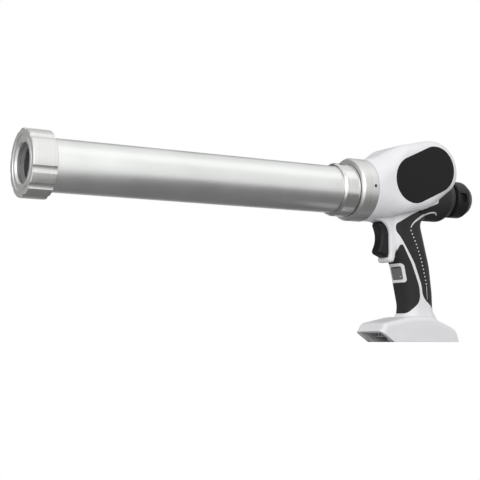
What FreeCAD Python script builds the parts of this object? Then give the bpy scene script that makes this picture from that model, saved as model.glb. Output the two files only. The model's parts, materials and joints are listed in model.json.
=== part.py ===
import FreeCAD, Part
import math
import os
import re
import Sketcher
from FreeCAD import Placement, Rotation, Vector

# A cordless caulking tool: a housing with a handle and a battery foot, a swivelling barrel with a screw
# cap, and a toothed push rod that a motor drives through a gear and a rack pinion.
# X points to the muzzle, Y to the tool's left and Z up. The sole of the foot is at height 0.
# Outlines are given from the nose point: on the barrel's axis, at the front face of the nose ring.

SIZES = {
    # the nose point in the shared frame
    "nose_x": -105.5,
    "axis_height": 177.5,
    # fits
    "running_gap": 0.06,
    "part_gap": 0.4,
    "seam_gap": 0.15,
    # barrel
    "barrel_radius": 27.5,
    "barrel_wall": 1.5,
    "barrel_length": 380.0,
    "collar_length": 21.0,
    "collar_radius": 31.0,
    "socket_depth": 14.0,
    "swivel_radius": 27.0,
    "swivel_length": 20.4,
    "swivel_bore": 21.0,
    "groove_width": 4.4,
    "groove_depth": 2.2,
    # front cap
    "cap_radius": 35.2,
    "cap_skirt": 16.8,
    "cap_face": 6.0,
    "mouth_radius": 21.0,
    "seat_thickness": 3.0,
    "face_ring": 29.0,
    "face_step": 1.2,
    "flute_radius": 5.5,
    "flute_depth": 1.9,
    "flute_pitch": 30.0,
    "lobe_turn": 1.0,
    # nose ring
    "nose_length": 22.0,
    "nose_radius": 37.0,
    "nose_chamfer": 2.4,
    "nose_rise": 1.6,
    "spigot_radius": 30.0,
    "spigot_length": 13.0,
    "set_screw_x": -16.5,
    "set_screw_radius": 2.0,
    # push rod, rack and piston
    "rod_radius": 8.0,
    "rod_rear": -165.0,
    "rod_setback": 35.0,
    "rack_module": 1.5,
    "rack_height": 5.0,
    "rack_spaces": 75.0,
    "pressure_angle": 25.0,
    "tooth_play": 0.1,
    "mesh_gap": 0.08,
    "bush_wall": 3.5,
    "bush_length": 13.0,
    "piston_thickness": 15.0,
    "piston_gap": 0.7,
    "seal_width": 4.0,
    "seal_depth": 2.4,
    # pull knob
    "tail_end": -150.5,
    "knob_gap": 1.2,
    "knob_radius": 22.8,
    "knob_neck": 13.0,
    "knob_length": 32.5,
    "knob_rim": 17.0,
    "knob_step": 4.5,
    "knob_pocket": 11.0,
    "pocket_depth": 4.5,
    # gears
    "pinion_x": -75.0,
    "pinion_teeth": 12.0,
    "pinion_width": 14.0,
    "gear_module": 1.25,
    "gear_teeth": 44.0,
    "drive_teeth": 14.0,
    "gear_width": 8.0,
    "gear_y": 15.0,
    "drum_tilt": 24.4,
    "shaft_radius": 4.0,
    "bearing_radius": 11.0,
    "bearing_width": 7.0,
    "plate_thickness": 2.5,
    "plate_radius": 26.8,
    "gearbox_radius": 19.5,
    "gearbox_length": 8.5,
    "motor_radius": 18.0,
    "motor_length": 34.0,
    # head of the housing
    "head_width": 36.5,
    "head_round": 13.0,
    "head_front": -22.0,
    "head_front_radius": 36.6,
    "head_joint": -64.0,
    "joint_top": 56.5,
    "joint_bottom": -26.5,
    "head_rear": -147.0,
    "head_rear_top": 74.6,
    "head_rear_round": 37.0,
    "head_rear_bottom": 13.0,
    "head_heel_x": -104.0,
    "head_heel_z": -17.5,
    "wall": 2.6,
    "panel_radius": 28.0,
    "panel_thickness": 1.6,
    # tail round the rod
    "tail_radius": 29.3,
    "tail_rear_radius": 23.0,
    "grip_thickness": 2.2,
    # handle
    "handle_width": 18.0,
    "handle_round": 12.5,
    "handle_top": -12.0,
    "handle_front_top": -58.0,
    "handle_front_x": -71.7,
    "handle_front_z": -86.0,
    "handle_low_x": -81.8,
    "handle_low_rise": 44.0,
    "handle_rear_top": -102.0,
    "handle_rear_top_z": -31.5,
    "handle_rear_x": -116.2,
    "handle_rear_z": -86.0,
    "handle_rear_low": -120.0,
    "handle_rear_rise": 58.0,
    # white stripe between the two grips of a side
    "stripe_x": -87.5,
    "stripe_z": -83.0,
    "stripe_width": 3.6,
    "stripe_low": 67.5,
    "stripe_end": 53.5,
    "grip_peak_x": -69.0,
    "grip_peak_z": -61.5,
    # neck behind the trigger
    "neck_width": 12.5,
    "neck_round": 3.4,
    "neck_front": -56.0,
    "arch_radius": 17.0,
    "lip_x": -53.5,
    "lip_top": -72.0,
    "lip_bottom": -82.8,
    # trigger
    "trigger_width": 8.0,
    "trigger_front": -41.0,
    "trigger_waist": -48.5,
    "trigger_top": -34.6,
    "trigger_bottom": -76.6,
    "trigger_rear": -59.0,
    "trigger_travel": 7.0,
    "plunger_radius": 3.0,
    "plunger_z": -57.0,
    "switch_front": -74.0,
    "switch_length": 22.0,
    "switch_width": 9.0,
    # release button
    "button_top": -87.2,
    "button_bottom": -102.9,
    "button_frame": 3.5,
    "button_width": 10.4,
    "button_set": 2.0,
    "button_length": 10.0,
    "button_travel": 3.0,
    # foot
    "foot_width": 26.0,
    "foot_round": 6.0,
    "foot_front": -31.0,
    "foot_sole_front": -50.0,
    "foot_rear": -151.5,
    "foot_height": 30.0,
    "foot_lip": 12.5,
    "slot_height": 12.0,
    "slot_width": 20.5,
    "rail_width": 3.0,
    "rail_height": 4.0,
    "liner": 1.4,
    "slot_rear": -130.0,
    "terminal_x": -84.0,
    "terminal_length": 36.0,
    "terminal_width": 13.0,
    # screws of the housing
    "boss_radius": 4.5,
    "screw_radius": 1.7,
    "screw_head": 3.4,
    "screw_depth": 9.0,
}

doc = FreeCAD.newDocument("caulking_tool")
sheet = doc.addObject("Spreadsheet::Sheet", "Sizes")
for row, (alias, value) in enumerate(SIZES.items(), 1):
    sheet.set("A%d" % row, alias)
    sheet.set("B%d" % row, str(value))
    sheet.setAlias("B%d" % row, alias)
doc.recompute()

WORD = re.compile(r"[a-z][a-z_]*")
UP = Vector(0, 0, 1)


def bound(text):
    """An expression in which each size's name points at its cell."""
    return WORD.sub(lambda m: "Sizes." + m.group() if m.group() in SIZES else m.group(), str(text))


def number(text):
    """The value that an expression has now."""
    return float(sheet.evalExpression(bound(text)))


def place(thing, at=("0", "0", "0"), turn=None):
    """Puts a thing at a point given from the nose point, turned by a rotation."""
    thing.Placement = Placement(Vector(0, 0, 0), turn or Rotation())
    thing.setExpression("Placement.Base.x", bound("nose_x + (%s)" % at[0]))
    thing.setExpression("Placement.Base.y", bound(at[1]))
    thing.setExpression("Placement.Base.z", bound("axis_height + (%s)" % at[2]))
    return thing


# Turns that lay a part's own X axis along another axis.
ALONG = {
    "X": Rotation(),
    "Y": Rotation(UP, 90),
}


def new_body(name, at=("0", "0", "0"), along="X"):
    return place(doc.addObject("PartDesign::Body", name), at, ALONG[along])


def origin_feature(body, role):
    return [part for part in body.Origin.OriginFeatures if part.Role == role][0]


def new_sketch(body, name, plane="XZ_Plane", lift=None):
    sketch = body.newObject("Sketcher::SketchObject", name)
    sketch.AttachmentSupport = [(origin_feature(body, plane), "")]
    sketch.MapMode = "FlatFace"
    if lift:
        sketch.setExpression("AttachmentOffset.Base.z", bound(lift))
    return sketch


def add_bound(sketch, constraints):
    """Adds constraints given as (Sketcher.Constraint, expression or None)."""
    ids = sketch.addConstraint([constraint for constraint, text in constraints])
    for index, (constraint, text) in zip(ids, constraints):
        if text is not None:
            sketch.setExpression("Constraints[%d]" % index, bound(text))


def at_point(geometry, position, x, y):
    """Constraints that hold a point of a sketch at the given distances from its origin."""
    return [
        (Sketcher.Constraint("DistanceX", -1, 1, geometry, position, number(x)), x),
        (Sketcher.Constraint("DistanceY", -1, 1, geometry, position, number(y)), y),
    ]


def draw_outline(sketch, corners):
    """Draws a closed outline of lines through corners (x, y) or (x, y, rounding radius)."""
    corners = [tuple(corner) + ("0",) * (3 - len(corner)) for corner in corners]
    points = [Vector(number(x), number(y), 0) for x, y, radius in corners]
    radii = [number(radius) for x, y, radius in corners]
    count = len(corners)
    enter, leave, centres, left = [], [], [], []
    for i in range(count):
        back = (points[i - 1] - points[i]).normalize()
        ahead = (points[(i + 1) % count] - points[i]).normalize()
        half = back.getAngle(ahead) / 2
        reach = radii[i] / math.tan(half)
        enter.append(points[i] + back * reach)
        leave.append(points[i] + ahead * reach)
        middle = back + ahead
        away = radii[i] / math.sin(half)
        centres.append(points[i] + middle.normalize() * away if radii[i] else points[i])
        left.append(ahead.cross(back).z > 0)
    lines = []
    for i in range(count):
        lines.append(sketch.addGeometry(Part.LineSegment(leave[i], enter[(i + 1) % count]), False))
    held = []
    for i, (x, y, radius) in enumerate(corners):
        before, after = lines[i - 1], lines[i]
        if not radii[i]:
            held.append((Sketcher.Constraint("Coincident", before, 2, after, 1), None))
            held += at_point(after, 1, x, y)
            continue
        first, last = (enter[i], leave[i]) if left[i] else (leave[i], enter[i])
        start = first - centres[i]
        end = last - centres[i]
        circle = Part.Circle(centres[i], UP, radii[i])
        arc = Part.ArcOfCircle(circle, math.atan2(start.y, start.x), math.atan2(end.y, end.x))
        arc = sketch.addGeometry(arc, False)
        dot = sketch.addGeometry(Part.Point(points[i]), True)
        held.append((Sketcher.Constraint("Tangent", before, 2, arc, 1 if left[i] else 2), None))
        held.append((Sketcher.Constraint("Tangent", arc, 2 if left[i] else 1, after, 1), None))
        held.append((Sketcher.Constraint("Radius", arc, radii[i]), radius))
        held.append((Sketcher.Constraint("PointOnObject", dot, 1, before), None))
        held.append((Sketcher.Constraint("PointOnObject", dot, 1, after), None))
        held += at_point(dot, 1, x, y)
    add_bound(sketch, held)
    return sketch


def draw_circles(sketch, circles):
    """Draws circles given as (x, y, radius)."""
    held = []
    for x, y, radius in circles:
        ring = Part.Circle(Vector(number(x), number(y), 0), UP, number(radius))
        ring = sketch.addGeometry(ring, False)
        held.append((Sketcher.Constraint("Radius", ring, number(radius)), radius))
        held += at_point(ring, 3, x, y)
    add_bound(sketch, held)
    return sketch


def inset(corners, depth):
    """The corners of an outline moved inwards by a depth, each along its own mitre."""
    corners = [tuple(corner) + ("0",) * (3 - len(corner)) for corner in corners]
    points = [Vector(number(x), number(y), 0) for x, y, radius in corners]
    count = len(points)
    area = sum(points[i - 1].cross(points[i]).z for i in range(count))
    inwards = 1 if area > 0 else -1
    moved = []
    for i, (x, y, radius) in enumerate(corners):
        ahead = (points[(i + 1) % count] - points[i]).normalize()
        behind = (points[i] - points[i - 1]).normalize()
        normal = UP.cross(ahead) + UP.cross(behind)
        mitre = normal * (2 * inwards / normal.dot(normal))
        outer = behind.cross(ahead).z * inwards > 0
        if number(radius):
            radius = "%s %s (%s)" % (radius, "-" if outer else "+", depth)
        move = [
            "(%s) + (%s) * (%.5f)" % (x, depth, mitre.x),
            "(%s) + (%s) * (%.5f)" % (y, depth, mitre.y),
        ]
        moved.append((move[0], move[1], radius))
    return moved


def turned(name, profile, at=("0", "0", "0"), along="X"):
    """A body turned round its own X axis from a profile of (x, radius) corners."""
    body = new_body(name, at, along)
    sketch = draw_outline(new_sketch(body, name + "_profile"), profile)
    spin = body.newObject("PartDesign::Revolution", name + "_turn")
    spin.Profile = sketch
    spin.ReferenceAxis = (sketch, ["H_Axis"])
    spin.Angle = 360
    return body


def slab(name, corners, half_width=None, span=None):
    """A body extruded from a side outline: across the middle plane, or from span[0] to span[1] along Y."""
    body = new_body(name)
    lift = None if span is None else "-(%s)" % span[0]
    sketch = draw_outline(new_sketch(body, name + "_outline", lift=lift), corners)
    pad = body.newObject("PartDesign::Pad", name + "_pad")
    pad.Profile = sketch
    if span is None:
        pad.SideType = "Symmetric"
        pad.setExpression("Length", bound("2 * (%s)" % half_width))
    else:
        pad.Reversed = True
        pad.setExpression("Length", bound("(%s) - (%s)" % (span[1], span[0])))
    return body


def bar(name, corners, span):
    """A body extruded along X from an outline in Y and Z, from span[0] to span[1]."""
    body = new_body(name)
    sketch = draw_outline(new_sketch(body, name + "_outline", "YZ_Plane", span[0]), corners)
    pad = body.newObject("PartDesign::Pad", name + "_pad")
    pad.Profile = sketch
    pad.setExpression("Length", bound("(%s) - (%s)" % (span[1], span[0])))
    return body


def window(half_width, low, high, radius):
    """The corners of a rounded window seen from the front."""
    left = "-(%s)" % half_width
    right = half_width
    return [(left, low, radius), (right, low, radius), (right, high, radius), (left, high, radius)]


def round_edges(body, radius, wanted, name=None):
    """Rounds the edges of a body for which the test holds."""
    doc.recompute()
    base = body.Tip
    names = ["Edge%d" % (i + 1) for i, edge in enumerate(base.Shape.Edges) if wanted(edge)]
    rounding = body.newObject("PartDesign::Fillet", name or body.Name + "_rounding")
    rounding.Base = (base, names)
    rounding.setExpression("Radius", bound(radius))
    return body


def side_edges(half_width, low=-1e4, high=1e4):
    """A test for the edges that lie in the two side faces, within a range of heights."""

    def wanted(edge):
        box = edge.BoundBox
        flat = box.YLength < 1e-4 and abs(abs(box.YMin) - number(half_width)) < 1e-3
        return flat and box.ZMin > low and box.ZMax < high

    return wanted


def cylinder(name, at, radius, length, along="Y"):
    thing = doc.addObject("Part::Cylinder", name)
    turns = {"X": Rotation(Vector(0, 1, 0), 90), "Y": Rotation(Vector(1, 0, 0), -90), "Z": Rotation()}
    place(thing, at, turns[along])
    thing.setExpression("Radius", bound(radius))
    thing.setExpression("Height", bound(length))
    return thing


def box(name, low, high):
    """A box between two corners."""
    thing = doc.addObject("Part::Box", name)
    place(thing, low)
    for side, a, b in zip(("Length", "Width", "Height"), low, high):
        thing.setExpression(side, bound("(%s) - (%s)" % (b, a)))
    return thing


def fuse(name, things):
    joined = doc.addObject("Part::MultiFuse", name)
    joined.Shapes = things
    joined.Refine = True
    return joined


def cut(name, base, tool):
    result = doc.addObject("Part::Cut", name)
    result.Base = base
    result.Tool = tool
    result.Refine = True
    return result


def common(name, things):
    result = doc.addObject("Part::MultiCommon", name)
    result.Shapes = things
    result.Refine = True
    return result


def compound(name, things):
    group = doc.addObject("Part::Compound", name)
    group.Links = things
    return group


# Places along the barrel's axis.
BARREL_REAR = "(collar_length - socket_depth)"
BARREL_FRONT = "(%s + barrel_length)" % BARREL_REAR
CAP_FRONT = "(%s + seat_thickness + cap_face)" % BARREL_FRONT
CAP_REAR = "(%s - cap_skirt)" % BARREL_FRONT
BARREL_BORE = "(barrel_radius - barrel_wall)"
ROD_FRONT = "(%s - rod_setback)" % BARREL_FRONT

# Axes of the rack pinion and of the motor.
RACK_PITCH = "(pi * rack_module)"
PINION_RADIUS = "(rack_module * pinion_teeth / 2)"
PINION_Z = "(rack_height + %s + mesh_gap)" % PINION_RADIUS
GEAR_REACH = "(gear_module * (gear_teeth + drive_teeth) / 2 + mesh_gap)"
MOTOR_X = "(pinion_x - %s * cos(drum_tilt))" % GEAR_REACH
MOTOR_Z = "(%s + %s * sin(drum_tilt))" % (PINION_Z, GEAR_REACH)

SOLE = "(-axis_height)"
parts = {}

# The barrel, its collar and the cap at its front.
parts["barrel_tube"] = turned(
    "barrel_tube",
    [
        (BARREL_REAR, BARREL_BORE),
        (BARREL_REAR, "barrel_radius"),
        (BARREL_FRONT, "barrel_radius"),
        (BARREL_FRONT, BARREL_BORE),
    ],
)

parts["barrel_collar"] = turned(
    "barrel_collar",
    [
        ("-swivel_length", "swivel_bore"),
        ("-swivel_length", "swivel_radius"),
        ("set_screw_x - groove_width / 2", "swivel_radius"),
        ("set_screw_x - groove_width / 2", "swivel_radius - groove_depth"),
        ("set_screw_x + groove_width / 2", "swivel_radius - groove_depth"),
        ("set_screw_x + groove_width / 2", "swivel_radius"),
        ("part_gap", "swivel_radius"),
        ("part_gap", "collar_radius", "0.6"),
        ("collar_length - 2", "collar_radius", "0.8"),
        ("collar_length", "collar_radius - 1.8"),
        ("collar_length", "barrel_radius + running_gap"),
        (BARREL_REAR, "barrel_radius + running_gap"),
        (BARREL_REAR, "swivel_bore"),
    ],
)

front_cap = turned(
    "front_cap",
    [
        (CAP_REAR, "barrel_radius + 2 * running_gap"),
        (CAP_REAR, "cap_radius", "0.8"),
        (CAP_FRONT, "cap_radius", "1.2"),
        (CAP_FRONT, "face_ring", "0.4"),
        (CAP_FRONT + " - face_step", "face_ring - 0.6"),
        (CAP_FRONT + " - face_step", "face_ring - 2"),
        (CAP_FRONT + " - face_step / 3", "face_ring - 2.6", "0.4"),
        (CAP_FRONT + " - face_step / 3", "mouth_radius + 1.6"),
        (CAP_FRONT + " - face_step - 1.2", "mouth_radius"),
        (CAP_FRONT + " - cap_face", "mouth_radius"),
        (CAP_FRONT + " - cap_face", "barrel_radius + 2 * running_gap"),
    ],
)
flute_reach = "cap_radius + flute_radius - flute_depth"
flutes = draw_circles(
    new_sketch(front_cap, "flute_sections", "YZ_Plane", CAP_REAR + " - 1"),
    [
        (
            "(%s) * cos(flute_pitch * %d + lobe_turn + 42)" % (flute_reach, step),
            "(%s) * sin(flute_pitch * %d + lobe_turn + 42)" % (flute_reach, step),
            "flute_radius",
        )
        for step in range(3)
    ],
)
flute_cut = front_cap.newObject("PartDesign::Pocket", "flute_cut")
flute_cut.Profile = flutes
flute_cut.Reversed = True
flute_cut.setExpression("Length", bound("%s - %s + 2" % (CAP_FRONT, CAP_REAR)))
flute_ring = front_cap.newObject("PartDesign::PolarPattern", "flute_ring")
flute_ring.Originals = [flute_cut]
flute_ring.Axis = (origin_feature(front_cap, "X_Axis"), [""])
flute_ring.Angle = 360
flute_ring.Occurrences = 3
front_cap.Tip = flute_ring
parts["front_cap"] = front_cap

parts["nozzle_seat"] = turned(
    "nozzle_seat",
    [
        (BARREL_FRONT, "mouth_radius - 3"),
        (BARREL_FRONT, "barrel_radius - 0.3"),
        (BARREL_FRONT + " + seat_thickness", "barrel_radius - 0.3"),
        (BARREL_FRONT + " + seat_thickness", "mouth_radius"),
    ],
)

# The nose ring, with the set screw that keeps the barrel in its swivel.
nose_rear = "(-nose_length - spigot_length)"
screw_z = "(nose_rise + 0.9)"
nose_shell = turned(
    "nose_shell",
    [
        ("0", "0"),
        ("0", "nose_radius - nose_chamfer"),
        ("-nose_chamfer", "nose_radius"),
        ("-nose_length", "nose_radius", "1.2"),
        ("-nose_length", "0"),
    ],
    ("0", "0", "nose_rise"),
)
nose_spigot = cylinder("nose_spigot", (nose_rear, "0", "0"), "spigot_radius", "spigot_length + 1", "X")
nose_bores = fuse(
    "nose_bores",
    [
        cylinder(
            "swivel_seat",
            ("-swivel_length - part_gap", "0", "0"),
            "swivel_radius + running_gap",
            "swivel_length + part_gap + 1",
            "X",
        ),
        cylinder(
            "front_bush_seat",
            (nose_rear + " - 1", "0", "0"),
            "rod_radius + bush_wall",
            "nose_length + 5",
            "X",
        ),
        cylinder(
            "set_screw_hole",
            ("set_screw_x", "swivel_radius - 3", screw_z),
            "set_screw_radius",
            "nose_radius",
        ),
    ],
)
parts["nose_ring"] = cut("nose_ring", fuse("nose_form", [nose_shell, nose_spigot]), nose_bores)

parts["nose_screw"] = turned(
    "nose_screw",
    [
        ("swivel_radius - groove_depth + part_gap", "0"),
        ("swivel_radius - groove_depth + part_gap", "set_screw_radius - 0.4", "0.3"),
        ("swivel_radius + 0.8", "set_screw_radius - 0.4"),
        ("swivel_radius + 0.8", "set_screw_radius"),
        ("nose_radius - 0.9", "set_screw_radius"),
        ("nose_radius - 0.9", "set_screw_radius / 2"),
        ("nose_radius - 2.9", "set_screw_radius / 2"),
        ("nose_radius - 2.9", "0"),
    ],
    ("set_screw_x", "0", screw_z),
    "Y",
)

# The bushes that guide the rod in the nose and in the tail.
bush_bore = "rod_radius + running_gap"
for name, start in (("front_bush", nose_rear), ("rear_bush", "tail_end")):
    parts[name] = turned(
        name,
        [
            (start, bush_bore),
            (start, "rod_radius + bush_wall"),
            (start + " + bush_length", "rod_radius + bush_wall"),
            (start + " + bush_length", bush_bore),
        ],
    )

# The push rod: round, with rack teeth cut in a flat along its top.
push_rod = turned(
    "push_rod",
    [
        ("rod_rear", "2.2"),
        ("rod_rear", "rod_radius"),
        (ROD_FRONT, "rod_radius"),
        (ROD_FRONT, "2.2"),
        (ROD_FRONT + " - 16", "2.2"),
        (ROD_FRONT + " - 16", "0"),
        ("rod_rear + 16", "0"),
        ("rod_rear + 16", "2.2"),
    ],
)
tooth_tip = "(rack_height + rack_module)"
tooth_root = "(rack_height - 1.25 * rack_module)"
rack_start = "(pinion_x - 2 * %s)" % RACK_PITCH
rack_end = "(%s + (rack_spaces - 1) * %s)" % (rack_start, RACK_PITCH)
flat = draw_outline(
    new_sketch(push_rod, "rack_flat_outline"),
    [
        ("%s - %s / 2" % (rack_start, RACK_PITCH), tooth_tip),
        ("%s + %s / 2" % (rack_end, RACK_PITCH), tooth_tip),
        ("%s + %s / 2" % (rack_end, RACK_PITCH), "rod_radius + 1"),
        ("%s - %s / 2" % (rack_start, RACK_PITCH), "rod_radius + 1"),
    ],
)
flat_cut = push_rod.newObject("PartDesign::Pocket", "rack_flat")
flat_cut.Profile = flat
flat_cut.SideType = "Symmetric"
flat_cut.setExpression("Length", bound("4 * rod_radius"))
half_space = "(%s / 4 + tooth_play / 2)" % RACK_PITCH
widen = "((rack_module + 0.2) * tan(pressure_angle))"
narrow = "(1.25 * rack_module * tan(pressure_angle))"
space = draw_outline(
    new_sketch(push_rod, "rack_space_outline"),
    [
        ("%s - %s + %s" % (rack_start, half_space, narrow), tooth_root),
        ("%s + %s - %s" % (rack_start, half_space, narrow), tooth_root),
        ("%s + %s + %s" % (rack_start, half_space, widen), tooth_tip + " + 0.2"),
        ("%s - %s - %s" % (rack_start, half_space, widen), tooth_tip + " + 0.2"),
    ],
)
space_cut = push_rod.newObject("PartDesign::Pocket", "rack_space")
space_cut.Profile = space
space_cut.SideType = "Symmetric"
space_cut.setExpression("Length", bound("4 * rod_radius"))
rack = push_rod.newObject("PartDesign::LinearPattern", "rack_teeth")
rack.Originals = [space_cut]
rack.Direction = (origin_feature(push_rod, "X_Axis"), [""])
rack.setExpression("Length", bound("(rack_spaces - 1) * %s" % RACK_PITCH))
rack.setExpression("Occurrences", bound("rack_spaces"))
push_rod.Tip = rack
parts["push_rod"] = push_rod

# The piston on the rod's front end, with its seal and its screw.
piston_radius = "(%s - piston_gap)" % BARREL_BORE
piston_front = "(%s + piston_thickness)" % ROD_FRONT
seal_at = "(%s + piston_thickness / 2)" % ROD_FRONT
parts["piston"] = turned(
    "piston",
    [
        (ROD_FRONT, "2.2"),
        (ROD_FRONT, piston_radius, "1"),
        (seal_at + " - seal_width / 2", piston_radius),
        (seal_at + " - seal_width / 2", piston_radius + " - seal_depth"),
        (seal_at + " + seal_width / 2", piston_radius + " - seal_depth"),
        (seal_at + " + seal_width / 2", piston_radius),
        (piston_front, piston_radius, "1.5"),
        (piston_front, "5.2"),
        (piston_front + " - 5", "5.2"),
        (piston_front + " - 5", "2.2"),
    ],
)
parts["piston_seal"] = turned(
    "piston_seal",
    [
        (seal_at + " - seal_width / 2", piston_radius + " - seal_depth"),
        (seal_at + " - seal_width / 2", BARREL_BORE + " - running_gap", "0.8"),
        (seal_at + " + seal_width / 2", BARREL_BORE + " - running_gap", "0.8"),
        (seal_at + " + seal_width / 2", piston_radius + " - seal_depth"),
    ],
)
parts["piston_screw"] = turned(
    "piston_screw",
    [
        (ROD_FRONT + " - 15", "0"),
        (ROD_FRONT + " - 15", "2.2", "0.4"),
        (piston_front + " - 5", "2.2"),
        (piston_front + " - 5", "4.6"),
        (piston_front + " - 1", "4.6", "0.6"),
        (piston_front + " - 1", "2"),
        (piston_front + " - 3", "2"),
        (piston_front + " - 3", "0"),
    ],
)

# The pull knob on the rod's rear end: a neck, a dished flange and a domed back.
knob_front = "(tail_end - knob_gap)"
knob_back = "(%s - knob_length)" % knob_front
rim_front = "(%s - knob_step)" % knob_front
rim_back = "(%s - knob_rim)" % rim_front
knob_form = turned(
    "knob_form",
    [
        (knob_front, "rod_radius"),
        (knob_front, "knob_neck", "1"),
        (knob_front + " - 2", "knob_neck", "1.2"),
        (rim_front, "knob_radius", "2.5"),
        (rim_back, "knob_radius", "5"),
        (knob_back, "knob_radius * 0.7", "7"),
        (knob_back, "5.4"),
        (knob_back + " + 5", "5.4"),
        (knob_back + " + 5", "2.2"),
        ("rod_rear", "2.2"),
        ("rod_rear", "rod_radius"),
    ],
)
pocket_end = "(%s - 2)" % rim_front
pocket_corners = [
    (pocket_end, "-knob_pocket / 2 - 1", "2"),
    (pocket_end + " - knob_pocket", "-knob_pocket / 2", "2"),
    (pocket_end + " - knob_pocket", "knob_pocket / 2", "2"),
    (pocket_end, "knob_pocket / 2 + 1", "2"),
]
pocket_floor = "(knob_radius - pocket_depth)"
parts["pull_knob"] = cut(
    "pull_knob",
    knob_form,
    fuse(
        "knob_pockets",
        [
            slab("pocket_left", pocket_corners, span=(pocket_floor, "knob_radius + 5")),
            slab("pocket_right", pocket_corners, span=("-knob_radius - 5", "-" + pocket_floor)),
        ],
    ),
)
parts["knob_screw"] = turned(
    "knob_screw",
    [
        (knob_back + " + 1", "2"),
        (knob_back + " + 1", "4.6", "0.6"),
        (knob_back + " + 5", "4.6"),
        (knob_back + " + 5", "2.2"),
        ("rod_rear + 15", "2.2", "0.4"),
        ("rod_rear + 15", "0"),
        (knob_back + " + 3", "0"),
        (knob_back + " + 3", "2"),
    ],
)


def gear_solid(module, teeth, width, bore, tooth_at):
    """A spur gear in the XY plane: involute flanks, one tooth at the given angle, a bore and a width."""
    pitch = module * teeth / 2
    angle = math.radians(number("pressure_angle"))
    base = pitch * math.cos(angle)
    tip = pitch + module * 0.97
    root = pitch - module * 1.25
    half = math.pi / (2 * teeth) - number("tooth_play") / (4 * pitch) + math.tan(angle) - angle
    start = max(base, root)

    def flank(radius):
        lean = math.acos(base / radius)
        return half - (math.tan(lean) - lean)

    def point(radius, turn):
        return Vector(radius * math.cos(turn), radius * math.sin(turn), 0)

    edges = []
    radii = [start + (tip - start) * k / 4 for k in range(5)]
    step = 2 * math.pi / teeth
    for k in range(int(teeth)):
        middle = tooth_at + k * step
        rise = [point(radius, middle - flank(radius)) for radius in radii]
        fall = [point(radius, middle + flank(radius)) for radius in reversed(radii)]
        foot_in = point(root, middle - flank(start))
        foot_out = point(root, middle + flank(start))
        foot_next = point(root, middle + step - flank(start))
        for side in (rise, fall):
            curve = Part.BSplineCurve()
            curve.interpolate(side)
            edges.append(curve.toShape())
        edges.append(Part.Arc(rise[-1], point(tip, middle), fall[0]).toShape())
        if root < base:
            edges.append(Part.makeLine(foot_in, rise[0]))
            edges.append(Part.makeLine(fall[-1], foot_out))
        edges.append(Part.Arc(foot_out, point(root, middle + step / 2), foot_next).toShape())
    blank = Part.Face(Part.Wire(Part.__sortEdges__(edges))).extrude(Vector(0, 0, width))
    return blank.cut(Part.makeCylinder(bore, width))


def gear(name, module, teeth, span, bore, tooth_at, at):
    """A gear across Y from span[0] to span[1], its axis at the given point."""
    thing = doc.addObject("Part::Feature", name)
    width = number("(%s) - (%s)" % (span[1], span[0]))
    thing.Shape = gear_solid(number(module), number(teeth), width, number(bore), math.radians(tooth_at))
    return place(thing, (at[0], span[1], at[1]), Rotation(Vector(1, 0, 0), 90))


# The rack pinion, its shaft and the gear that drives it through a flat clutch.
half_pinion = "(pinion_width / 2)"
parts["rack_pinion"] = gear(
    "rack_pinion",
    "rack_module",
    "pinion_teeth",
    ("-" + half_pinion, half_pinion),
    "shaft_radius",
    -90,
    ("pinion_x", PINION_Z),
)
gear_out = "(gear_y + gear_width)"
parts["output_gear"] = gear(
    "output_gear",
    "gear_module",
    "gear_teeth",
    ("gear_y", gear_out),
    "shaft_radius + running_gap",
    180 - number("drum_tilt"),
    ("pinion_x", PINION_Z),
)
parts["drive_pinion"] = gear(
    "drive_pinion",
    "gear_module",
    "drive_teeth",
    ("gear_y", gear_out),
    "shaft_radius",
    -number("drum_tilt") + 180 / number("drive_teeth"),
    (MOTOR_X, MOTOR_Z),
)
cavity_width = "(head_width - panel_thickness - 2)"
bearing_seat = "(%s - bearing_width)" % cavity_width
parts["pinion_shaft"] = turned(
    "pinion_shaft",
    [
        ("-" + cavity_width + " + 0.5", "0"),
        ("-" + cavity_width + " + 0.5", "shaft_radius", "0.5"),
        (cavity_width + " - 0.5", "shaft_radius", "0.5"),
        (cavity_width + " - 0.5", "0"),
    ],
    ("pinion_x", "0", PINION_Z),
    "Y",
)
parts["clutch_collar"] = turned(
    "clutch_collar",
    [
        (half_pinion, "shaft_radius"),
        (half_pinion, "shaft_radius + 4"),
        ("gear_y - 3", "shaft_radius + 4"),
        ("gear_y - 3", "shaft_radius + 5"),
        ("gear_y - part_gap", "shaft_radius + 5", "0.4"),
        ("gear_y - part_gap", "shaft_radius"),
    ],
    ("pinion_x", "0", PINION_Z),
    "Y",
)
bearings = []
for name, start in (("left_bearing", bearing_seat), ("right_bearing", "-" + cavity_width)):
    bearings.append(
        turned(
            name,
            [
                (start, "shaft_radius + running_gap"),
                (start, "bearing_radius", "0.5"),
                (start + " + bearing_width", "bearing_radius", "0.5"),
                (start + " + bearing_width", "shaft_radius + running_gap"),
            ],
            ("pinion_x", "0", PINION_Z),
            "Y",
        )
    )
parts["shaft_bearings"] = compound("shaft_bearings", bearings)

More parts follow.
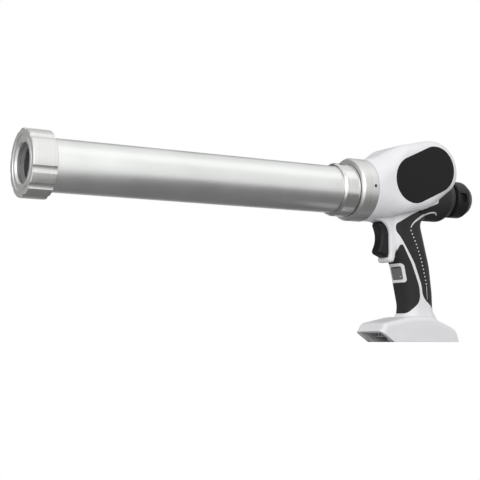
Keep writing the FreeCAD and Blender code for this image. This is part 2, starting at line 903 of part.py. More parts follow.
# The motor with its closed gearbox, on a plate beside the gears.
plate_in = "(gear_y - 1.2 - plate_thickness)"
gearbox_in = "(%s - gearbox_length)" % plate_in
parts["gearbox"] = turned(
    "gearbox",
    [
        (gearbox_in, "0"),
        (gearbox_in, "gearbox_radius", "0.8"),
        (plate_in, "gearbox_radius", "0.5"),
        (plate_in, "shaft_radius + 2"),
        (plate_in + " + plate_thickness", "shaft_radius + 2"),
        (plate_in + " + plate_thickness", "shaft_radius - running_gap"),
        (gear_out + " - 0.5", "shaft_radius - running_gap"),
        (gear_out + " - 0.5", "0"),
    ],
    (MOTOR_X, "0", MOTOR_Z),
    "Y",
)
motor_end = "(%s - motor_length)" % gearbox_in
parts["motor"] = turned(
    "motor",
    [
        ("-" + cavity_width, "0"),
        ("-" + cavity_width, "6.5"),
        (motor_end, "6.5"),
        (motor_end, "motor_radius", "1.5"),
        (gearbox_in, "motor_radius", "0.5"),
        (gearbox_in, "0"),
    ],
    (MOTOR_X, "0", MOTOR_Z),
    "Y",
)


def obround(name, radius, span):
    """A plate of two half discs, one round each of the two gear axes."""
    body = new_body(name)
    sketch = new_sketch(body, name + "_outline", lift="-(%s)" % span[0])
    lean = math.radians(number("drum_tilt"))
    front = Vector(number("pinion_x"), number(PINION_Z), 0)
    rear = Vector(number(MOTOR_X), number(MOTOR_Z), 0)
    size = number(radius)
    side = Vector(math.sin(lean), math.cos(lean), 0) * size
    turn = math.pi / 2 - lean
    ids = [
        sketch.addGeometry(Part.LineSegment(front + side, rear + side), False),
        sketch.addGeometry(Part.ArcOfCircle(Part.Circle(rear, UP, size), turn, turn + math.pi), False),
        sketch.addGeometry(Part.LineSegment(rear - side, front - side), False),
        sketch.addGeometry(Part.ArcOfCircle(Part.Circle(front, UP, size), turn + math.pi, turn), False),
    ]
    held = []
    for one, place_one, two, place_two in ((0, 2, 1, 1), (1, 2, 2, 1), (2, 2, 3, 1), (3, 2, 0, 1)):
        held.append((Sketcher.Constraint("Tangent", ids[one], place_one, ids[two], place_two), None))
    held.append((Sketcher.Constraint("Radius", ids[1], size), radius))
    held += at_point(ids[1], 3, MOTOR_X, MOTOR_Z)
    held += at_point(ids[3], 3, "pinion_x", PINION_Z)
    add_bound(sketch, held)
    pad = body.newObject("PartDesign::Pad", name + "_pad")
    pad.Profile = sketch
    pad.Reversed = True
    pad.setExpression("Length", bound("(%s) - (%s)" % (span[1], span[0])))
    return body


drive_plate = obround("drive_plate", "plate_radius", (plate_in, plate_in + " + plate_thickness"))
openings = draw_circles(
    new_sketch(drive_plate, "plate_openings", lift="-(%s) - plate_thickness - 1" % plate_in),
    [
        ("pinion_x", PINION_Z, "shaft_radius + 6"),
        (MOTOR_X, MOTOR_Z, "shaft_radius + 2"),
    ],
)
opening_cut = drive_plate.newObject("PartDesign::Pocket", "plate_opening_cut")
opening_cut.Profile = openings
opening_cut.Reversed = True
opening_cut.setExpression("Length", bound("plate_thickness + 2"))
parts["drive_plate"] = drive_plate

# Forms of the housing: head, tail, handle, neck and foot.
head_corners = [
    ("head_joint", "joint_bottom"),
    ("head_joint", "joint_top"),
    ("head_rear", "head_rear_top", "head_rear_round"),
    ("head_rear", "head_rear_bottom", "28"),
    ("head_heel_x", "head_heel_z", "45"),
]
top_slope = "((head_rear_top - joint_top) / (head_joint - head_rear))"
bottom_slope = "((head_heel_z - joint_bottom) / (head_joint - head_heel_x))"


def head_edges(half_width, front):
    within = side_edges(half_width)
    return lambda edge: within(edge) and edge.BoundBox.XMin < number(front) - 1


def head_front_form(name, depth):
    """The front of the head: from the round nose to the head's own section, all set in by a depth."""
    body = new_body(name)
    step = "(head_front - head_joint)"
    low = "(nose_rise - head_front_radius)"
    high = "(nose_rise + head_front_radius)"
    rise = "(joint_top - %s)" % high
    fall = "(joint_bottom - %s)" % low
    behind = "head_joint - 8"
    sections = [
        ("head_front", "head_front_radius", low, high, "head_front_radius - 0.4"),
        ("head_front - %s * 0.38" % step, "head_width + 0.3", low + " + %s * 0.34" % fall,
         high + " + %s * 0.29" % rise, "head_round * 2.2"),
        ("head_front - %s * 0.76" % step, "head_width", low + " + %s * 0.73" % fall,
         high + " + %s * 0.74" % rise, "head_round * 1.42"),
        ("head_joint", "head_width - 0.05", "joint_bottom + 0.05", "joint_top - 0.05", "head_round + 0.35"),
        (behind, "head_width - 0.05", "joint_bottom + 0.05 + 8 * " + bottom_slope,
         "joint_top - 0.05 + 8 * " + top_slope, "head_round + 0.35"),
    ]
    profiles = []
    for index, (x, half_width, bottom, top, radius) in enumerate(sections, 1):
        corners = window(
            "%s - %s" % (half_width, depth),
            "%s + %s" % (bottom, depth),
            "%s - %s" % (top, depth),
            "%s - %s" % (radius, depth),
        )
        sketch = new_sketch(body, "%s_section_%d" % (name, index), "YZ_Plane", x)
        profiles.append(draw_outline(sketch, corners))
    loft = body.newObject("PartDesign::AdditiveLoft", name + "_loft")
    loft.Profile = profiles[0]
    loft.Sections = profiles[1:]
    return body


head_block = slab("head_block", head_corners, "head_width")
round_edges(head_block, "head_round", head_edges("head_width", "head_joint"))
head_form = fuse("head_form", [head_block, head_front_form("head_front_form", "0")])

tail_corners = [
    ("pinion_x - 22", "0"),
    ("pinion_x - 22", "tail_radius"),
    ("head_rear + 8", "tail_radius", "12"),
    ("tail_end", "tail_rear_radius", "2"),
    ("tail_end", "0"),
]
tail_form = turned("tail_form", tail_corners)
tail_core = turned(
    "tail_core",
    [
        ("pinion_x - 22", "0"),
        ("pinion_x - 22", "tail_radius - grip_thickness"),
        ("head_rear + 8", "tail_radius - grip_thickness", "10"),
        ("tail_end", "tail_rear_radius - grip_thickness"),
        ("tail_end", "0"),
    ],
)

low_front = SOLE + " + handle_low_rise"
low_rear = SOLE + " + handle_rear_rise"
handle_corners = [
    ("handle_front_top", "handle_top"),
    ("handle_front_top - 2", "handle_front_z + 26", "40"),
    ("handle_front_x", "handle_front_z", "60"),
    ("handle_low_x", low_front, "20"),
    ("handle_low_x + 1", low_front + " - 9", "12"),
    ("handle_low_x + 9", SOLE + " + foot_height - 6"),
    ("handle_rear_low - 10", SOLE + " + foot_height - 6"),
    ("handle_rear_low - 0.5", SOLE + " + foot_height + 9", "14"),
    ("handle_rear_low", low_rear, "60"),
    ("handle_rear_x", "handle_rear_z", "80"),
    ("handle_rear_top", "handle_rear_top_z", "9"),
    ("handle_rear_top - 20", "handle_rear_top_z + 5.5"),
    ("handle_rear_top - 20", "handle_top"),
]


def handle_edges(half_width):
    within = side_edges(half_width)

    def wanted(edge):
        level = edge.BoundBox.ZLength < 1e-4
        inside_tail = edge.BoundBox.XLength < 1e-4 and edge.BoundBox.ZMin > number("handle_front_top")
        return within(edge) and not level and not inside_tail

    return wanted


handle_form = slab("handle_form", handle_corners, "handle_width")
round_edges(handle_form, "handle_round", handle_edges("handle_width"))
handle_core = slab("handle_core", inset(handle_corners, "grip_thickness"), "handle_width - grip_thickness")
round_edges(handle_core, "handle_round * 0.62", handle_edges("handle_width - grip_thickness"))

neck_corners = [
    ("handle_front_top - 12", "handle_top"),
    ("neck_front + 27", "handle_top"),
    ("neck_front + 26", "trigger_top + 1.2"),
    ("neck_front", "trigger_top + 1.2", "arch_radius"),
    ("neck_front", "lip_top", "10"),
    ("lip_x", "lip_bottom", "3.6"),
    ("lip_x - 8.5", "lip_bottom", "3.6"),
    ("grip_peak_x + 4", "grip_peak_z - 10", "12"),
    ("grip_peak_x + 1.5", "grip_peak_z"),
]
neck_form = slab("neck_form", neck_corners, "neck_width")
round_edges(neck_form, "neck_round", handle_edges("neck_width"))

foot_corners = [
    ("foot_sole_front", SOLE, "3"),
    ("foot_front", SOLE + " + foot_lip"),
    ("foot_front - 7", SOLE + " + foot_height - 7.4", "8"),
    ("handle_low_x + 7", SOLE + " + foot_height", "50"),
    ("handle_rear_low + 13", SOLE + " + foot_height + 1", "40"),
    ("foot_rear + 5", SOLE + " + foot_height * 0.5", "14"),
    ("foot_rear", SOLE),
]
foot_form = slab("foot_form", foot_corners, "foot_width")


def foot_edges(edge):
    low = edge.BoundBox.ZMin > number(SOLE) + number("foot_lip") - 0.1
    rear = edge.BoundBox.XMax < number("foot_rear") + number("foot_height")
    return side_edges("foot_width")(edge) and (low or rear)


round_edges(foot_form, "foot_round", foot_edges)

outer_form = fuse("outer_form", [head_form, tail_form, handle_form, neck_form, foot_form])

# The elastomer grips: a skin of the handle and the tail, within two regions seen from the side.
grip_form = fuse("grip_form", [handle_form, tail_form])
grip_core = fuse("grip_core", [handle_core, tail_core])
grip_skin = cut("grip_skin", grip_form, grip_core)
across = "head_width + 10"
rear_region = slab(
    "rear_region",
    [
        ("head_rear - 20", "tail_radius + 5"),
        ("handle_rear_top - 16", "tail_radius + 5"),
        ("handle_rear_top - 16", "handle_top + 1.5"),
        ("handle_rear_top + 18", "handle_top - 13", "60"),
        ("handle_front_top - 4.5", "handle_top - 24.8", "6"),
        ("handle_front_top - 5.2", "-46", "8"),
        ("stripe_x", "stripe_z", "50"),
        ("stripe_x - 10.5", SOLE + " + stripe_low", "30"),
        ("stripe_x - 12", SOLE + " + stripe_end", "18"),
        ("handle_rear_low - 10", SOLE + " + foot_height - 2"),
        ("head_rear - 20", SOLE + " + foot_height - 2"),
    ],
    across,
)
front_edge = "stripe_x + stripe_width"
front_region = slab(
    "front_region",
    [
        ("neck_front + 20", "lip_bottom + 1"),
        ("lip_x - 7.5", "lip_bottom + 1", "5"),
        ("grip_peak_x + 4", "grip_peak_z - 10", "12"),
        ("grip_peak_x + 1.5", "grip_peak_z", "1.8"),
        ("grip_peak_x - 2", "grip_peak_z - 0.5", "2.5"),
        (front_edge, "stripe_z - 2", "60"),
        (front_edge + " - 10.5", SOLE + " + stripe_low - 1", "35"),
        (front_edge + " - 12", SOLE + " + stripe_end - 4", "16"),
        ("handle_low_x + 2", SOLE + " + foot_height + 3", "14"),
        ("neck_front + 20", SOLE + " + foot_height - 1"),
    ],
    across,
)
frame_region = bar(
    "frame_region",
    window("button_width + button_frame", "button_bottom - button_frame", "button_top + button_frame", "3.5"),
    ("handle_front_x - 14", "handle_front_x + 20"),
)
rear_skin = cut(
    "rear_skin",
    common("rear_grip_form", [grip_skin, rear_region]),
    fuse("rear_grip_limits", [head_form, neck_form, foot_form]),
)
trigger_room = box(
    "trigger_room",
    ("trigger_rear - trigger_travel - 4", "-trigger_width - part_gap", "trigger_bottom - part_gap"),
    ("trigger_front + 10", "trigger_width + part_gap", "trigger_top + part_gap"),
)
front_skin = cut(
    "front_skin",
    common("front_grip_form", [grip_skin, front_region]),
    fuse("front_grip_limits", [neck_form, foot_form, frame_region, trigger_room]),
)

# Hollows of the housing.
head_block_hollow = slab("head_hollow_block", inset(head_corners, "wall"), cavity_width)
round_edges(head_block_hollow, "head_round - 3", head_edges(cavity_width, "head_joint - wall"))
head_hollow = fuse("head_hollow", [head_block_hollow, head_front_form("head_front_hollow", "(wall + 1)")])
tail_start = "tail_end + bush_length + 2"
tail_hollow = cylinder("tail_hollow", (tail_start, "0", "0"), "tail_radius * 0.65", "34", "X")
handle_depth = "(wall + grip_thickness)"
handle_hollow = slab(
    "handle_hollow",
    [
        ("handle_front_top - 6", "handle_top - 5"),
        ("handle_front_top - 8", "handle_front_z + 26", "20"),
        ("handle_front_x - 5", "handle_front_z", "20"),
        ("handle_low_x - 5.5", low_front),
        ("handle_low_x - 5.5", SOLE + " + foot_height"),
        ("handle_rear_low + 5.5", SOLE + " + foot_height"),
        ("handle_rear_low + 5.5", low_rear, "20"),
        ("handle_rear_x + 5.5", "handle_rear_z", "20"),
        ("handle_rear_top + 6", "handle_rear_top_z - 6", "10"),
        ("handle_rear_top + 4", "handle_top - 5"),
    ],
    "handle_width - wall - 1.5 * grip_thickness",
)
foot_floor = SOLE + " + slot_height + wall"
foot_hollow = common(
    "foot_hollow",
    [
        slab("foot_hollow_block", inset(foot_corners, "wall"), "foot_width - 3.5"),
        box(
            "foot_hollow_room",
            ("foot_rear + 18", "-foot_width", foot_floor),
            ("foot_front - 14", "foot_width", SOLE + " + foot_height + 20"),
        ),
    ],
)
passage = box(
    "handle_passage",
    ("handle_rear_low + 8", "-handle_width + %s" % handle_depth, foot_floor),
    ("handle_low_x - 6", "handle_width - %s" % handle_depth, SOLE + " + foot_height + 8"),
)

# The battery slot under the foot, with a rail along each side.
slot_mouth = "foot_front + 10"
slot = fuse(
    "battery_slot",
    [
        box(
            "slot_channel",
            ("slot_rear", "-slot_width", SOLE + " + rail_height"),
            (slot_mouth, "slot_width", SOLE + " + slot_height"),
        ),
        box(
            "slot_gate",
            ("slot_rear", "-slot_width + rail_width", SOLE + " - 1"),
            (slot_mouth, "slot_width - rail_width", SOLE + " + slot_height"),
        ),
    ],
)
liner_ceiling = SOLE + " + slot_height - liner"
terminal_top = SOLE + " + slot_height + wall + 2"
terminal_hole = box(
    "terminal_hole",
    ("terminal_x", "-terminal_width", SOLE + " + slot_height - liner - 1"),
    ("terminal_x + terminal_length", "terminal_width", terminal_top),
)

# The room for the release button, and bores for the nose, the rod and its rear bush.
button_back = "(handle_front_x - button_length)"
button_room = bar(
    "button_room",
    window("button_width", "button_bottom", "button_top", "2"),
    (button_back + " - button_travel - 2", "handle_front_x + 20"),
)
nose_seat = "spigot_radius + seam_gap"
nose_bore = cylinder("nose_bore", (nose_rear, "0", "0"), nose_seat, "spigot_length + 10", "X")
rod_path = cylinder("rod_path", ("tail_end - 5", "0", "0"), "rod_radius + 2", "130", "X")
bush_seat = "rod_radius + bush_wall"
bush_bore_cut = cylinder("bush_bore", ("tail_end - 1", "0", "0"), bush_seat, "bush_length + 1", "X")

# Posts for the screws, rings for the bearings and shelves inside the housing.
screw_places = [
    ("head_front - 15", "head_front_radius - 3"),
    ("head_rear + 7", "head_rear_bottom + 8.5"),
    ("head_joint + 2", "joint_top - 9.5"),
    ("handle_rear_top + 16", "handle_rear_top_z"),
    ("handle_rear_low + 20", low_rear),
    ("foot_front - 32", SOLE + " + slot_height + wall + 6"),
    ("slot_rear - 8", SOLE + " + slot_height - 3"),
]
posts = []
for index, (x, z) in enumerate(screw_places, 1):
    posts.append(cylinder("post_%d" % index, (x, "-head_width - 1", z), "boss_radius", "2 * head_width + 2"))
rings = []
for name, start in (("left_ring", bearing_seat), ("right_ring", "-head_width + 1")):
    length = "head_width - 1 - " + bearing_seat
    rings.append(cylinder(name, ("pinion_x", start, PINION_Z), "bearing_radius + 3", length))
switch_bottom = "(plunger_z - 19)"
switch_top = "(plunger_z + 17)"
shelf = box(
    "switch_shelf",
    ("switch_front - switch_length", "-handle_width + 3", switch_bottom + " - 2.5"),
    ("switch_front - 4", "handle_width - 3", switch_bottom),
)
spring_end = button_back + " - 8"
stop = box(
    "spring_stop",
    (spring_end + " - 2.5", "-handle_width + 3", "button_bottom + 3"),
    (spring_end, "handle_width - 3", "button_top - 3"),
)
inner_form = common("inner_form", [fuse("inner_posts", posts + rings + [shelf, stop]), outer_form])
shell_form = cut(
    "shell_form",
    outer_form,
    fuse("shell_hollow", [head_hollow, tail_hollow, handle_hollow, foot_hollow, passage]),
)
bearing_bores = []
for name, start in (("left_bore", bearing_seat + " - 1"), ("right_bore", "-" + cavity_width)):
    bearing_bores.append(cylinder(name, ("pinion_x", start, PINION_Z), "bearing_radius", "bearing_width + 1"))
recesses = [
    obround("left_recess", "panel_radius", ("head_width - panel_thickness", "head_width + 4")),
    obround("right_recess", "panel_radius", ("-head_width - 4", "-head_width + panel_thickness")),
]
cuts = [rear_skin, front_skin, slot, terminal_hole, trigger_room, button_room, nose_bore]
cuts += [rod_path, bush_bore_cut] + bearing_bores + recesses
housing_walls = fuse("housing_walls", [shell_form, inner_form])
housing_form = cut("housing_form", housing_walls, fuse("housing_cuts", cuts))

far = "400"
left_half = box("left_half", ("-" + far, "0", "-" + far), (far, "100", far))
right_half = box("right_half", ("-" + far, "-100", "-" + far), (far, "0", far))
left_holes, right_holes, screws = [], [], []
for index, (x, z) in enumerate(screw_places, 1):
    left_holes.append(cylinder("left_hole_%d" % index, (x, "-1", z), "screw_radius", "screw_depth + 2"))
    shank = cylinder(
        "shank_hole_%d" % index,
        (x, "-screw_depth - 1", z),
        "screw_radius + 0.2",
        "screw_depth + 2",
    )
    counterbore = cylinder(
        "counterbore_%d" % index,
        (x, "-head_width - 5", z),
        "screw_head + 0.3",
        "head_width + 5 - screw_depth",
    )
    right_holes += [shank, counterbore]
    screws.append(
        turned(
            "screw_%d" % index,
            [
                ("-screw_depth - 2.6", "1.2"),
                ("-screw_depth - 2.6", "screw_head", "0.8"),
                ("-screw_depth", "screw_head"),
                ("-screw_depth", "screw_radius"),
                ("screw_depth", "screw_radius", "0.5"),
                ("screw_depth", "0"),
                ("-screw_depth - 1", "0"),
                ("-screw_depth - 1", "1.2"),
            ],
            (x, "0", z),
            "Y",
        )
    )
right_drill = fuse("right_drill", right_holes)
parts["housing_left"] = cut(
    "housing_left", common("left_shell", [housing_form, left_half]), fuse("left_drill", left_holes)
)
parts["housing_right"] = cut("housing_right", common("right_shell", [housing_form, right_half]), right_drill)
parts["housing_screws"] = compound("housing_screws", screws)
parts["rear_grip_left"] = common("rear_grip_left", [rear_skin, left_half])
parts["rear_grip_right"] = cut("rear_grip_right", common("rear_right", [rear_skin, right_half]), right_drill)
parts["front_grip_left"] = common("front_grip_left", [front_skin, left_half])
parts["front_grip_right"] = common("front_grip_right", [front_skin, right_half])


def outer_edges(y):
    return lambda edge: edge.BoundBox.YLength < 1e-4 and abs(edge.BoundBox.YMin - number(y)) < 1e-3


panel_span = ("head_width - panel_thickness", "head_width + 0.3")
left_panel = obround("side_panel_left", "panel_radius - seam_gap", panel_span)
right_panel = obround(
    "side_panel_right", "panel_radius - seam_gap", ("-head_width - 0.3", "-head_width + panel_thickness")
)
parts["side_panel_left"] = round_edges(left_panel, "0.7", outer_edges("head_width + 0.3"))
parts["side_panel_right"] = round_edges(right_panel, "0.7", outer_edges("-head_width - 0.3"))

# The trigger with its plunger, the switch that it works and its spring.
trigger_middle = "((trigger_top + trigger_bottom) / 2)"
trigger = slab(
    "trigger",
    [
        ("trigger_rear", "trigger_top"),
        ("trigger_front", "trigger_top", "4"),
        ("trigger_waist", trigger_middle + " + 2", "24"),
        ("trigger_front + 0.3", "trigger_bottom + 4.5", "4"),
        ("trigger_front - 11", "trigger_bottom", "6"),
        ("trigger_rear", "trigger_bottom"),
    ],
    "trigger_width",
)


def front_of_trigger(edge):
    flat = side_edges("trigger_width")(edge)
    return flat and edge.BoundBox.XMax > number("trigger_rear") + 1


round_edges(trigger, "3.4", front_of_trigger)
plunger_end = "(switch_front - 3)"
plunger = draw_circles(
    new_sketch(trigger, "plunger_section", "YZ_Plane", plunger_end), [("0", "plunger_z", "plunger_radius")]
)
plunger_pad = trigger.newObject("PartDesign::Pad", "plunger")
plunger_pad.Profile = plunger
plunger_pad.setExpression("Length", bound("trigger_rear - %s + 1" % plunger_end))
parts["trigger"] = trigger
switch_rear = "(switch_front - switch_length)"
parts["switch_module"] = cut(
    "switch_module",
    box(
        "switch_case",
        (switch_rear, "-switch_width", switch_bottom),
        ("switch_front", "switch_width", switch_top),
    ),
    cylinder(
        "switch_bore", ("switch_front - 14", "0", "plunger_z"), "plunger_radius + part_gap", "15", "X"
    ),
)


def spring(name, start, length, radius, wire, turns, z):
    """A helical spring that runs from a point towards -X."""
    thing = doc.addObject("Part::Feature", name)
    span = number(length) - 2 * number(wire)
    path = Part.Wire(Part.makeHelix(span / turns, span, number(radius)))
    ring = Part.Wire(Part.makeCircle(number(wire), Vector(number(radius), 0, 0), Vector(0, 1, 0)))
    thing.Shape = path.makePipeShell([ring], True, False)
    return place(thing, ("%s - %s" % (start, wire), "0", z), Rotation(Vector(0, 1, 0), -90))


parts["trigger_spring"] = spring(
    "trigger_spring",
    "trigger_rear",
    "trigger_rear - switch_front",
    "plunger_radius + 1.6",
    "0.45",
    5,
    "plunger_z",
)

# The release button: a part of the handle's front, set in from its surface, with a spring behind it.
button_front = "handle_front_x - button_set"
button = slab(
    "release_button",
    [
        (button_back, "button_bottom + part_gap"),
        (button_front + " - 3", "button_bottom + part_gap", "1.5"),
        (button_front, "button_top - part_gap", "1.5"),
        (button_back, "button_top - part_gap"),
    ],
    "button_width - part_gap",
)


def button_edges(edge):
    return side_edges("button_width - part_gap")(edge) and edge.BoundBox.XMin > number(button_back) + 1


parts["release_button"] = round_edges(button, "1.4", button_edges)
button_middle = "(button_top + button_bottom) / 2"
parts["release_spring"] = spring("release_spring", button_back, "8", "4", "0.45", 4, button_middle)

# The electrical pieces in the foot.
parts["terminal_block"] = fuse(
    "terminal_block",
    [
        box(
            "terminal_base",
            ("terminal_x", "-terminal_width", SOLE + " + slot_height - 1"),
            ("terminal_x + terminal_length", "terminal_width", terminal_top),
        ),
        box(
            "terminal_tongue",
            ("terminal_x + 3", "-terminal_width + 2", SOLE + " + slot_height - 6"),
            ("terminal_x + terminal_length - 2", "terminal_width - 2", SOLE + " + slot_height - 1"),
        ),
    ],
)
slot_sides = "(slot_width - seam_gap)"
liner_inside = "(%s - liner)" % slot_sides
liner_shell = cut(
    "liner_shell",
    box(
        "liner_block",
        ("slot_rear + 1", "-" + slot_sides, SOLE + " + rail_height"),
        ("foot_front", slot_sides, SOLE + " + slot_height"),
    ),
    box(
        "liner_room",
        ("slot_rear + 1 + liner", "-" + liner_inside, SOLE + " - 1"),
        ("foot_front + 5", liner_inside, liner_ceiling),
    ),
)
liner_front = slab("liner_front", inset(foot_corners, "0.8"), "foot_width")
parts["slot_liner"] = cut("slot_liner", common("liner_form", [liner_shell, liner_front]), terminal_hole)
blades = []
for index, y in enumerate(("-7", "0", "7"), 1):
    blades.append(
        box(
            "blade_%d" % index,
            ("terminal_x + terminal_length - 2", y + " - 0.5", SOLE + " + slot_height - 5.4"),
            ("terminal_x + terminal_length + 1.5", y + " + 0.5", SOLE + " + slot_height - 1.6"),
        )
    )
parts["terminal_blades"] = compound("terminal_blades", blades)
parts["control_board"] = fuse(
    "control_board",
    [
        box(
            "board_sheet",
            ("handle_rear_low + 12", "-terminal_width", terminal_top),
            ("foot_front - 40", "terminal_width", terminal_top + " + 1.6"),
        ),
        box(
            "board_chip",
            ("terminal_x", "-6", terminal_top + " + 1.6"),
            ("terminal_x + 12", "6", terminal_top + " + 4"),
        ),
    ],
)

doc.recompute()
faults = []
for thing in doc.Objects:
    if "Invalid" in thing.State or "Error" in thing.State:
        faults.append("%s: %s" % (thing.Name, thing.State))
for node, thing in parts.items():
    thing.Label = node
    if thing.Shape.isNull() or not thing.Shape.isValid() or not thing.Shape.Solids:
        faults.append("%s has no valid solid" % node)
if faults:
    raise RuntimeError("; ".join(faults))
os.makedirs("parts", exist_ok=True)
for node, thing in parts.items():
    thing.Shape.exportStep("parts/%s.step" % node)
print("%d nodes written" % len(parts))
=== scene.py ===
# %% [markdown]
# # A cordless caulking tool
# The tool comes from CAD as solids that already sit in their right places: a white pistol-grip
# housing with rubber grips, a long aluminium barrel with a screw cap, and the rod, gears and
# motor inside. This lesson gives each surface its finish, adds the small light marks on the grips
# and the button, rebuilds two springs as meshes, and sets up a plain studio.

# %% Load the solids
import json
import math

import bmesh
import bpy
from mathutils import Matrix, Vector
from mathutils.bvhtree import BVHTree


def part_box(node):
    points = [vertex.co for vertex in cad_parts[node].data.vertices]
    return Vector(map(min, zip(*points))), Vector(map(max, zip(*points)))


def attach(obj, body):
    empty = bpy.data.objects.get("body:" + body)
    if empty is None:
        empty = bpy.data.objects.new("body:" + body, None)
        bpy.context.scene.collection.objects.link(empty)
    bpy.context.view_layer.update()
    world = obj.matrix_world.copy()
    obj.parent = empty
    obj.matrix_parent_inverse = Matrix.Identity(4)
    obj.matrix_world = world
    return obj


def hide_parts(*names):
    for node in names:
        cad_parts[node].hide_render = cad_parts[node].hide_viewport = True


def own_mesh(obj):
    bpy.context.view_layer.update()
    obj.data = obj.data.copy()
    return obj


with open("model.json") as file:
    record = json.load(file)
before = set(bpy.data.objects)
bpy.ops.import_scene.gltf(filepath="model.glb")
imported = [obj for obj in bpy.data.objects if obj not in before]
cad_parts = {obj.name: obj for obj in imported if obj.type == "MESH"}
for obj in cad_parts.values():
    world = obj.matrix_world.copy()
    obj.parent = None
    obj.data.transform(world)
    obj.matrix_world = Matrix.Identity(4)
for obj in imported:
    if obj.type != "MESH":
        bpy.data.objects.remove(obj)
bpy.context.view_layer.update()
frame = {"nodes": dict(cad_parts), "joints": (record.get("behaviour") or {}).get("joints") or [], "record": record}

scene = bpy.context.scene
nodes = frame["nodes"]
record = frame["record"]
joints = {joint["name"]: joint for joint in frame["joints"]}

# %% [markdown]
# The places of the marks are given in millimetres from the nose point, where the barrel's axis
# meets the plane of the nose ring's front face. The barrel's swivel joint stands at that point, so
# it is read from there. One small function turns such numbers into the scene's metres.

# %% Places from the nose point
NOSE = Vector(joints["barrel_swivel"]["pos_m"])


def from_nose(x, y, z):
    return NOSE + Vector((x, y, z)) / 1000


print("nose point", [round(value, 4) for value in NOSE])

# %% [markdown]
# Every finish below is a tree of shader nodes. Adding a node takes three steps: make it, set its
# options, and fill or wire its inputs. A helper does all three in one call. A second one starts a
# node group with named sockets. In Blender 4.5 the sockets belong to the group's interface, so
# they are made there and not on the input and output nodes.

# %% Helpers for shader trees
def place(tree, kind, wires=None, **options):
    node = tree.nodes.new("ShaderNode" + kind)
    for option, value in options.items():
        setattr(node, option, value)
    for socket, value in (wires or {}).items():
        if isinstance(value, bpy.types.NodeSocket):
            tree.links.new(value, node.inputs[socket])
        else:
            node.inputs[socket].default_value = value
    return node


def new_group(name, inputs, outputs):
    group = bpy.data.node_groups.new(name, "ShaderNodeTree")
    for socket, value in inputs.items():
        made = group.interface.new_socket(socket, in_out="INPUT", socket_type="NodeSocketFloat")
        made.default_value = value
    for socket in outputs:
        group.interface.new_socket(socket, in_out="OUTPUT", socket_type="NodeSocketFloat")
    return group, group.nodes.new("NodeGroupInput").outputs, group.nodes.new("NodeGroupOutput").inputs


print("tree helpers ready")

# %% [markdown]
# A few small steps come back in almost every tree: the place of a point in its object's own
# space, one sum, a range pulled apart until it fills zero to one, and the reverse, a value of zero
# to one laid out between two limits. Each gets a name, so the trees read like sentences.

# %% Small steps of a tree
def own_space(tree):
    return place(tree, "TexCoord").outputs["Object"]


def reckon(tree, operation, *values):
    return place(tree, "Math", dict(enumerate(values)), operation=operation).outputs[0]


def stretch(tree, value, low, high):
    return place(tree, "MapRange", {"Value": value, "From Min": low, "From Max": high}).outputs["Result"]


def spread(tree, value, low, high):
    return place(tree, "MapRange", {"Value": value, "To Min": low, "To Max": high}).outputs["Result"]


print("steps ready")

# %% [markdown]
# Moulded plastic is never perfectly smooth: the mould is spark-eroded, and its fine grain shows
# on the part. The grain could be a painted picture, but a noise in the object's own space needs
# no unwrapping and stays with the part when it moves. The group gives the grain as a height, and
# a soft mottle, forty times as coarse, for the slow changes that handling leaves.

# %% Group: moulded grain
MOTTLE_SCALE = 1 / 40
grain, take, give = new_group("moulded_grain", {"Scale": 1500.0}, ("Height", "Mottle"))
where = own_space(grain)
fine = place(grain, "TexNoise", {"Vector": where, "Scale": take["Scale"], "Detail": 3.0})
coarse = reckon(grain, "MULTIPLY", take["Scale"], MOTTLE_SCALE)
slow = place(grain, "TexNoise", {"Vector": where, "Scale": coarse, "Detail": 4.0, "Roughness": 0.6})
grain.links.new(fine.outputs["Fac"], give["Height"])
grain.links.new(stretch(grain, slow.outputs["Fac"], 0.3, 0.7), give["Mottle"])
print("group", grain.name)

# %% [markdown]
# Edges are touched most, so paint, plastic and metal all change there first. The Bevel node
# looks a little way round each point and returns a rounded normal. Where that normal differs
# from the true one, an edge is near. A noise breaks the line up, because wear is never even.

# %% Group: edge wear
wear, take, give = new_group("edge_wear", {"Radius": 0.0006, "Patches": 220.0}, ("Mask",))
rounded = place(wear, "Bevel", {"Radius": take["Radius"]}, samples=4).outputs["Normal"]
actual = place(wear, "NewGeometry").outputs["Normal"]
likeness = place(wear, "VectorMath", {0: rounded, 1: actual}, operation="DOT_PRODUCT").outputs["Value"]
edge = stretch(wear, likeness, 0.985, 0.8)
patch = place(wear, "TexNoise", {"Vector": own_space(wear), "Scale": take["Patches"], "Detail": 3.0})
broken = stretch(wear, patch.outputs["Fac"], 0.38, 0.62)
wear.links.new(reckon(wear, "MULTIPLY", edge, broken), give["Mask"])
print("group", wear.name)

# %% [markdown]
# Corners and joints are the opposite of edges: less light reaches them, so this group paints
# shade into them as a darker colour. The Ambient Occlusion node measures how open a point is,
# within a small distance. Turned round, that is a mask of the corners for the painted shade.

# %% Group: painted corner shade
corner_shade, take, give = new_group("painted_corner_shade", {"Reach": 0.002}, ("Mask",))
openness = place(corner_shade, "AmbientOcclusion", {"Distance": take["Reach"]}, samples=8).outputs["AO"]
corner_shade.links.new(stretch(corner_shade, openness, 0.85, 0.3), give["Mask"])
print("group", corner_shade.name)

# %% [markdown]
# The nose ring, the collar and the cap are turned on a lathe about the X axis. The lathe leaves
# rings that are the same all the way round, so a noise in one dimension, read along X, draws
# them: fine rings for the height, broad ones for the tone. The metal pieces inside borrow the same
# rings, although the gears there turn about Y, because the closed housing hides them.

